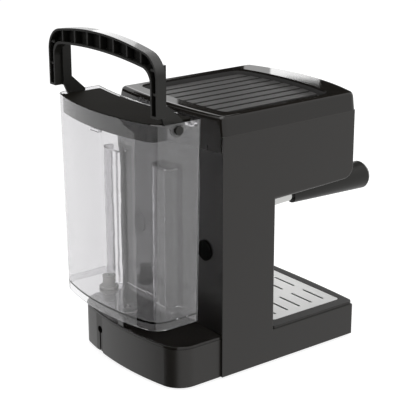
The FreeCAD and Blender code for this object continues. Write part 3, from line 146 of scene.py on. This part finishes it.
def moulded(sheet, look):  # plastic, rubber and other moulded stuff
    where = sheet.place()
    sockets = sheet.drifting(sheet.noise(where, look["cloud"]), look)
    grain = sheet.noise(where, look["grain"])
    sockets["Normal"] = sheet.bump(grain, look["bump"], bumpDepth["moulded"])
    sockets["Specular IOR Level"] = look["sheen"]
    return sockets


def metal(sheet, look):  # brushed, cast or polished metal
    where = sheet.node("Mapping", {}, {"Vector": sheet.place(), "Scale": look["stretch"]})
    streak = sheet.noise(where, look["grain"], noiseSetup["streakDetail"])
    sockets = sheet.drifting(streak, look)
    sockets["Normal"] = sheet.bump(streak, look["bump"], bumpDepth["metal"])
    sockets["Metallic"] = 1.0
    return sockets


def clear(sheet, look):  # see-through plastic
    sockets = sheet.drifting(sheet.noise(sheet.place(), look["cloud"]), look)
    sockets["IOR"] = look["bend"]
    sockets["Transmission Weight"] = look["through"]
    return sockets


def skinned(sheet, look):  # dark moulding, polished only on the faces that look up
    sockets = sheet.drifting(sheet.noise(sheet.place(), look["cloud"]), look)
    facing = sheet.node("TexCoord", {}, {}, "Normal")
    upward = sheet.node("SeparateXYZ", {}, {0: facing}, "Z")
    polishRange = {"Value": upward, "From Min": look["polishFrom"], "From Max": look["polishTo"]}
    sockets["Coat Weight"] = sheet.node("MapRange", {}, polishRange)
    sockets["Coat Roughness"] = look["polishRough"]
    sockets["Specular IOR Level"] = look["sheen"]
    return sockets


finishes = {
    "shellPlastic": {
        "maker": moulded, "colour": (0.0105, 0.0092, 0.0078), "drift": 0.08, "cloud": 14.0, "grain": 2600.0,
        "rough": 0.34, "roughDrift": 0.06, "bump": 0.05, "sheen": 0.46,
        "wearers": ["left_side_panel", "right_side_panel", "tank_base", "front_fascia", "column_front_panel",
                    "head_underside", "rear_wall"]},
    # rear plugs: dark plastic, coloured darker still as painted shade of the dark hole they stand in
    "plugPlastic": {
        "maker": moulded, "colour": (0.004, 0.0038, 0.0034), "drift": 0.08, "cloud": 30.0, "grain": 2200.0,
        "rough": 0.7, "roughDrift": 0.08, "bump": 0.05, "sheen": 0.05,
        "wearers": ["rear_plugs"]},
    "coverPlastic": {
        "maker": moulded, "colour": (0.0105, 0.0092, 0.0078), "drift": 0.08, "cloud": 14.0, "grain": 2600.0,
        "rough": 0.06, "roughDrift": 0.02, "bump": 0.02, "sheen": 0.4,
        "wearers": ["top_cover", "tank_base_cover"]},
    "warmingTray": {
        "maker": moulded, "colour": (0.043, 0.042, 0.041), "drift": 0.08, "cloud": 20.0, "grain": 2200.0,
        "rough": 0.42, "roughDrift": 0.08, "bump": 0.1, "sheen": 0.35,
        "wearers": ["cup_warming_tray"]},
    "mattePlastic": {
        "maker": moulded, "colour": (0.02, 0.019, 0.018), "drift": 0.1, "cloud": 18.0, "grain": 1800.0,
        "rough": 0.5, "roughDrift": 0.08, "bump": 0.1, "sheen": 0.3,
        "wearers": ["base_chassis", "button_housing", "drip_tray", "wand_grip"]},
    "handlePlastic": {
        "maker": skinned, "colour": (0.006, 0.0057, 0.0045), "drift": 0.1, "cloud": 20.0,
        "rough": 0.5, "roughDrift": 0.08, "sheen": 0.36,
        "polishFrom": 0.2, "polishTo": 0.6, "polishRough": 0.07,
        "wearers": ["tank_handle"]},
    "gripPlastic": {
        "maker": moulded, "colour": (0.0085, 0.008, 0.0068), "drift": 0.1, "cloud": 20.0, "grain": 2200.0,
        "rough": 0.36, "roughDrift": 0.08, "bump": 0.05, "sheen": 0.35,
        "wearers": ["handle_pins", "portafilter_handle", "steam_knob"]},
    "lidPlastic": {
        "maker": moulded, "colour": (0.0075, 0.0068, 0.0055), "drift": 0.08, "cloud": 16.0, "grain": 2200.0,
        "rough": 0.6, "roughDrift": 0.06, "bump": 0.05, "sheen": 0.015,
        "wearers": ["tank_lid"]},
    "clearTank": {
        "maker": clear, "colour": (0.765, 0.76, 0.77), "drift": 0.02, "cloud": 12.0,
        "rough": 0.03, "roughDrift": 0.02, "bend": 1.58, "through": 1.0,
        "wearers": ["water_tank"]},
    "silicone": {
        "maker": clear, "colour": (0.8, 0.79, 0.76), "drift": 0.04, "cloud": 60.0,
        "rough": 0.3, "roughDrift": 0.1, "bend": 1.4, "through": 0.5,
        "wearers": ["suction_hose", "pressure_hose", "valve_poppet", "tank_valve_body", "valve_nut"]},
    "grilleSteel": {
        "maker": metal, "colour": (0.78, 0.78, 0.77), "drift": 0.06, "stretch": (6.0, 220.0, 60.0),
        "grain": 12.0, "rough": 0.36, "roughDrift": 0.12, "bump": 0.04,
        "wearers": ["drip_grille", "shower_screen", "filter_basket"]},
    # portafilter stem: chrome coloured darker than the other steel, as painted shade and painted dark
    # reflection
    "darkChrome": {
        "maker": metal, "colour": (0.55, 0.55, 0.54), "drift": 0.04, "stretch": (60.0, 60.0, 60.0),
        "grain": 10.0, "rough": 0.08, "roughDrift": 0.06, "bump": 0.02,
        "wearers": ["portafilter_stem"]},
    "brightSteel": {
        "maker": metal, "colour": (0.74, 0.74, 0.73), "drift": 0.04, "stretch": (60.0, 60.0, 60.0),
        "grain": 10.0, "rough": 0.14, "roughDrift": 0.08, "bump": 0.02,
        "wearers": ["steam_wand", "froth_sleeve", "shower_screw", "valve_spring", "base_screws",
                    "boiler_screws", "steam_valve_stem", "steam_pipe", "portafilter_body",
                    "portafilter_spout", "heating_element", "pump_bracket"]},
    "castMetal": {
        "maker": metal, "colour": (0.6, 0.6, 0.59), "drift": 0.1, "stretch": (90.0, 90.0, 90.0),
        "grain": 14.0, "rough": 0.45, "roughDrift": 0.15, "bump": 0.2,
        "wearers": ["boiler_body", "boiler_lid", "group_ring", "thermostats"]},
    "brassParts": {
        "maker": metal, "colour": (0.71, 0.55, 0.29), "drift": 0.08, "stretch": (40.0, 40.0, 160.0),
        "grain": 12.0, "rough": 0.3, "roughDrift": 0.1, "bump": 0.06,
        "wearers": ["steam_valve_body"]},
    "blackRubber": {
        "maker": moulded, "colour": (0.02, 0.02, 0.02), "drift": 0.12, "cloud": 40.0, "grain": 1500.0,
        "rough": 0.75, "roughDrift": 0.1, "bump": 0.15, "sheen": 0.3,
        "wearers": ["feet", "group_gasket", "boiler_gasket", "pump_damper", "dock_seal"]},
    "whiteNylon": {
        "maker": moulded, "colour": (0.72, 0.72, 0.69), "drift": 0.04, "cloud": 30.0, "grain": 1800.0,
        "rough": 0.4, "roughDrift": 0.08, "bump": 0.05, "sheen": 0.5,
        "wearers": ["inlet_fitting", "valve_cap"]},
    "pumpBody": {
        "maker": moulded, "colour": (0.1, 0.1, 0.11), "drift": 0.1, "cloud": 30.0, "grain": 1500.0,
        "rough": 0.5, "roughDrift": 0.1, "bump": 0.1, "sheen": 0.4,
        "wearers": ["pump", "button_switches"]},
    "greenBoard": {
        "maker": moulded, "colour": (0.03, 0.16, 0.07), "drift": 0.15, "cloud": 120.0, "grain": 1500.0,
        "rough": 0.35, "roughDrift": 0.1, "bump": 0.05, "sheen": 0.5,
        "wearers": ["control_board"]},
    "buttonPlastic": {
        "maker": moulded, "colour": (0.09, 0.09, 0.088), "drift": 0.08, "cloud": 60.0, "grain": 2200.0,
        "rough": 0.25, "roughDrift": 0.05, "bump": 0.03, "sheen": 0.5,
        "wearers": ["power_button", "brew_button", "steam_button"]},
}
bare = set(nodes)
for name, look in finishes.items():
    finish = bpy.data.materials.new(name)
    sheet = Sheet(finish)
    sheet.end(sheet.node("BsdfPrincipled", {}, look["maker"](sheet, look)))
    for wearer in look["wearers"]:
        nodes[wearer].data.materials.clear()
        nodes[wearer].data.materials.append(finish)
    bare -= set(look["wearers"])
print("finishes:", len(finishes), "bare nodes:", sorted(bare))

weldGap = 1e-6
halfUnit = 0.5  # create_grid takes half a side, so this gives a square of side 1
upright = Matrix.Rotation(math.pi / 2, 3, "X")


def addObject(name, form, finish):  # a finished form becomes an object of the scene
    mesh = bpy.data.meshes.new(name)
    form.to_mesh(mesh)
    form.free()
    mesh.materials.append(bpy.data.materials[finish])
    thing = bpy.data.objects.new(name, mesh)
    bpy.context.collection.objects.link(thing)
    return thing


def addPiece(name, form, finish, body):  # an object of the part, which rides on a body
    bmesh.ops.remove_doubles(form, verts=form.verts[:], dist=weldGap)
    bmesh.ops.recalc_face_normals(form, faces=form.faces[:])
    piece = addObject(name, form, finish)
    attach(piece, body)
    print(name, "made:", len(piece.data.polygons), "faces")
    return piece


def spun(form, centre, angle, steps, rise=0.0):  # sweeps a flat section around an upright axis
    bmesh.ops.spin(form, geom=form.faces[:] + form.edges[:] + form.verts[:], cent=centre, axis=(0, 0, 1),
                   dvec=(0, 0, rise), angle=angle, steps=steps, use_merge=False)


# the lid's rear edge laps over the tank's rim
edgeLap = {"outer": 0.300, "width": 0.0045, "thick": 0.0008, "sweep": math.radians(33.0), "steps": 48}
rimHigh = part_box("water_tank")[1]
hub = Vector((0, rimHigh.y - edgeLap["outer"], rimHigh.z))
sectionAt = hub + Vector((edgeLap["outer"] - edgeLap["width"] / 2, 0, edgeLap["thick"] / 2))
lapStart = Matrix.Rotation((math.pi - edgeLap["sweep"]) / 2, 3, "Z")
lap = bmesh.new()
bmesh.ops.create_grid(lap, x_segments=1, y_segments=1, size=halfUnit)
bmesh.ops.scale(lap, verts=lap.verts[:], vec=(edgeLap["width"], edgeLap["thick"], 1))
bmesh.ops.rotate(lap, verts=lap.verts[:], matrix=upright)
bmesh.ops.translate(lap, verts=lap.verts[:], vec=sectionAt)
bmesh.ops.rotate(lap, verts=lap.verts[:], cent=hub, matrix=lapStart)
spun(lap, hub, edgeLap["sweep"], edgeLap["steps"])
addPiece("lidEdgeLap", lap, "lidPlastic", "lid")

# the valve's spring, wound as a wire coil; its shortening as the poppet lifts is worked out but not applied
coil = {"turns": 5, "wire": 0.0008, "sides": 10, "stepsPerTurn": 28}
wireRadius = coil["wire"] / 2
coilSteps = coil["turns"] * coil["stepsPerTurn"]
springLow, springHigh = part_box("valve_spring")
springMid = (springLow + springHigh) / 2
springTall = springHigh.z - springLow.z
lift = next(joint["range_m"][1] for joint in frame["joints"] if joint["name"] == "valve_lift")
wireStart = (springHigh.x - wireRadius, springMid.y, springLow.z + wireRadius)
winding = bmesh.new()
bmesh.ops.create_circle(winding, cap_ends=True, radius=wireRadius, segments=coil["sides"])
bmesh.ops.rotate(winding, verts=winding.verts[:], matrix=upright)
bmesh.ops.translate(winding, verts=winding.verts[:], vec=wireStart)
spun(winding, springMid, math.tau * coil["turns"], coilSteps, rise=(springTall - coil["wire"]) / coilSteps)
valveCoil = addPiece("valveCoil", winding, "brightSteel", "tank")
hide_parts("valve_spring")
(springTall - lift) / springTall
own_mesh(valveCoil)

# camera at the photograph's place, measured from the rear of the tank
cameraSetup = {"x": -1.1471, "behindRear": 0.7390, "z": 0.6573, "aim": (0.7470, -0.5838, -0.3180),
               "lens": 112.19, "sensor": 36.0}


def turnedTo(direction):  # cameras and lamps look down their own -Z
    return Vector(direction).to_track_quat("-Z", "Y").to_euler()


eye = bpy.data.objects.new("photoCamera", bpy.data.cameras.new("photoCamera"))
eye.data.sensor_width = cameraSetup["sensor"]
eye.data.lens = cameraSetup["lens"]
eye.location = (cameraSetup["x"], cadHigh.y + cameraSetup["behindRear"], cameraSetup["z"])
eye.rotation_euler = turnedTo(cameraSetup["aim"])
bpy.context.collection.objects.link(eye)
bpy.context.scene.camera = eye
print("camera set")

# pale floor: part glow, part plain, so the shadow stays
white = (1, 1, 1, 1)
floorLook = {"size": 40.0, "glow": 0.8, "plain": (0.4, 0.4, 0.4, 1)}
sheet = Sheet(bpy.data.materials.new("paleFloor"))
glowStrength = sheet.showsBackground() * floorLook["glow"]
glow = sheet.node("Emission", {}, {"Color": white, "Strength": glowStrength})
plain = sheet.node("BsdfDiffuse", {}, {"Color": floorLook["plain"]})
sheet.end(sheet.node("AddShader", {}, {0: glow, 1: plain}))
plane = bmesh.new()
bmesh.ops.create_grid(plane, x_segments=1, y_segments=1, size=floorLook["size"] / 2)
floor = addObject("floor", plane, "paleFloor")
floor.visible_glossy = False
print("floor set")

# dark screens that only the shiny faces see, as between the lights of a studio
screenColour = (0.01, 0.01, 0.01, 1)
screensBehind = {  # x, y and z of the corners
    "behind": [(-0.80, 0.96, -1.2), (0.37, 0.96, -1.2), (0.37, 0.96, 1.2), (-0.80, 0.96, 1.2)],
    "behindFar": [(0.37, 0.96, 0.06), (3.0, 0.96, 0.06), (3.0, 0.96, 1.2), (0.37, 0.96, 1.2)],
}
screensAhead = {  # across and height of the corners, on the plane ahead
    "nearRim": [(-0.9, 0.472), (0.006, 0.472), (0.006, 0.57), (-0.06, 0.63), (-0.25, 0.91), (-0.55, 1.4),
                (-0.9, 1.9)],
    "rearEdge": [(0.13, 0.80), (1.6, 0.80), (1.6, 2.4), (-0.02, 2.4), (0.03, 1.1)],
    "frontCorner": [(-0.9, 0.38), (-0.232, 0.38), (-0.232, 0.472), (-0.9, 0.472)],
    "frontInner": [(-0.232, 0.449), (-0.175, 0.4405), (-0.175, 0.472), (-0.232, 0.472)],
    "low": [(-0.105, 0.30), (0.07, 0.30), (0.07, 0.446), (-0.105, 0.446)],
}
aheadPlane = {"toward": Vector((0.788, -0.616, 0)), "across": Vector((0.616, 0.788, 0)), "reach": 0.7}
panelRear = Vector((0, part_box("left_side_panel")[1].y, 0))  # the plane is measured from here
sheet = Sheet(bpy.data.materials.new("darkScreen"))
sheet.end(sheet.node("BsdfDiffuse", {}, {"Color": screenColour}))


def addScreen(name, corners):
    card = bmesh.new()
    card.faces.new([card.verts.new(corner) for corner in corners])
    screen = addObject(name + "Screen", card, "darkScreen")
    screen.visible_camera = False
    screen.visible_diffuse = False
    screen.visible_shadow = False
    screen.visible_transmission = False
    screen.visible_volume_scatter = False


def aheadPoint(across, height):
    flat = panelRear + aheadPlane["toward"] * aheadPlane["reach"] + aheadPlane["across"] * across
    return flat + Vector((0, 0, height))


for name, corners in screensBehind.items():
    addScreen(name, corners)
for name, corners in screensAhead.items():
    addScreen(name, [aheadPoint(*corner) for corner in corners])
print("screens set:", len(screensBehind) + len(screensAhead))

# world: white where it is seen, softer where it only lights
skyLook = {"seen": 1.0, "light": 0.45}
world = bpy.data.worlds.new("studio")
bpy.context.scene.world = world
sheet = Sheet(world)
strength = skyLook["light"] + sheet.showsBackground() * (skyLook["seen"] - skyLook["light"])
sheet.end(sheet.node("Background", {}, {"Color": white, "Strength": strength}), "World")
print("world set")

# soft lamps and two small cards, all turned to the middle of the part
lampAim = Vector((0, 0, 0.25))
lamps = {  # inGloss is off where a lamp would leave its mark on the upright edges
    "overhead": {"at": (0.2, 0.3, 1.8), "size": (1.4, 1.4), "power": 14.0, "inGloss": True},
    "nearSide": {"at": (-1.6, 0.1, 0.9), "size": (1.0, 1.0), "power": 14.0, "inGloss": False},
    "rear": {"at": (0.5, 1.9, 0.9), "size": (1.0, 1.0), "power": 10.0, "inGloss": True},
    "front": {"at": (0.4, -2.0, 0.9), "size": (1.2, 1.2), "power": 16.0, "inGloss": True},
    "handleCard": {"at": aheadPoint(0.11, 0.65), "size": (0.13, 0.34), "power": 0.2, "inGloss": True},
    "stripCard": {"at": aheadPoint(-0.19, 0.424), "size": (0.082, 0.034), "power": 0.018, "inGloss": True},
}
for name, lamp in lamps.items():
    light = bpy.data.lights.new(name, "AREA")
    light.shape = "RECTANGLE"
    light.size, light.size_y = lamp["size"]
    light.energy = lamp["power"]
    holder = bpy.data.objects.new(name, light)
    holder.location = lamp["at"]
    holder.rotation_euler = turnedTo(lampAim - Vector(lamp["at"]))
    holder.visible_glossy = lamp["inGloss"]
    bpy.context.collection.objects.link(holder)
print("lamps set:", len(lamps))

bpy.context.scene.view_settings.view_transform = "Standard"
